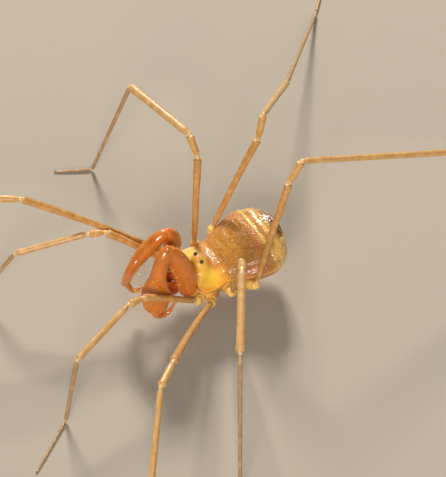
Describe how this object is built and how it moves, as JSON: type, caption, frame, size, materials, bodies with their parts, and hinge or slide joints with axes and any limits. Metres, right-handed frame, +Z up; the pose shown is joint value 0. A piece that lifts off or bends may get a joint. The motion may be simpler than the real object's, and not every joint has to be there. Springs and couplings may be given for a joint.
{
  "type": "harvestman model",
  "caption": "Life-size still model of an armoured harvestman standing on long thin legs, with swollen, spined pedipalps folded in front.",
  "frame": {"origin": "middle of the bounding box in plan, on the floor that the feet rest on", "axes": "+Z up, the animal faces -Y and its left side is +X"},
  "size_m": [0.0438, 0.0544, 0.0107],
  "materials": {
    "shield": "orange-brown cuticle with a low sheen and fine pinkish granules",
    "plate": "orange-brown cuticle with a pale yellow band along each plate",
    "belly": "paler amber cuticle, satin",
    "palp": "smooth, glossy red-orange cuticle with amber spines",
    "leg": "golden-brown cuticle with fine pale granules, satin",
    "leg_end": "dull pale brown cuticle with very short hairs",
    "eye": "glossy black"
  },
  "bodies": {
    "root": {"anal_plate": "plate", "chelicera_left": "palp", "chelicera_right": "palp", "eye_left": "eye", "eye_right": "eye", "leg_1_left_femur": "leg", "leg_1_left_metatarsus": "leg_end", "leg_1_left_patella": "leg", "leg_1_left_tarsus": "leg_end", "leg_1_left_tibia": "leg", "leg_1_right_femur": "leg", "leg_1_right_metatarsus": "leg_end", "leg_1_right_patella": "leg", "leg_1_right_tarsus": "leg_end", "leg_1_right_tibia": "leg", "leg_2_left_femur": "leg", "leg_2_left_metatarsus": "leg_end", "leg_2_left_patella": "leg", "leg_2_left_tarsus": "leg_end", "leg_2_left_tibia": "leg", "leg_2_right_femur": "leg", "leg_2_right_metatarsus": "leg_end", "leg_2_right_patella": "leg", "leg_2_right_tarsus": "leg_end", "leg_2_right_tibia": "leg", "leg_3_left_femur": "leg", "leg_3_left_metatarsus": "leg_end", "leg_3_left_patella": "leg", "leg_3_left_tarsus": "leg_end", "leg_3_left_tibia": "leg", "leg_3_right_femur": "leg", "leg_3_right_metatarsus": "leg_end", "leg_3_right_patella": "leg", "leg_3_right_tarsus": "leg_end", "leg_3_right_tibia": "leg", "leg_4_left_femur": "leg", "leg_4_left_metatarsus": "leg_end", "leg_4_left_patella": "leg", "leg_4_left_tarsus": "leg_end", "leg_4_left_tibia": "leg", "leg_4_right_femur": "leg", "leg_4_right_metatarsus": "leg_end", "leg_4_right_patella": "leg", "leg_4_right_tarsus": "leg_end", "leg_4_right_tibia": "leg", "pedipalp_left_femur": "palp", "pedipalp_left_patella": "palp", "pedipalp_left_tarsus": "palp", "pedipalp_left_tibia": "palp", "pedipalp_left_trochanter": "leg", "pedipalp_right_femur": "palp", "pedipalp_right_patella": "palp", "pedipalp_right_tarsus": "palp", "pedipalp_right_tibia": "palp", "pedipalp_right_trochanter": "leg", "shield": "shield", "tergite_1": "plate", "tergite_2": "plate", "underside": "belly"}
  },
  "joints": []
}
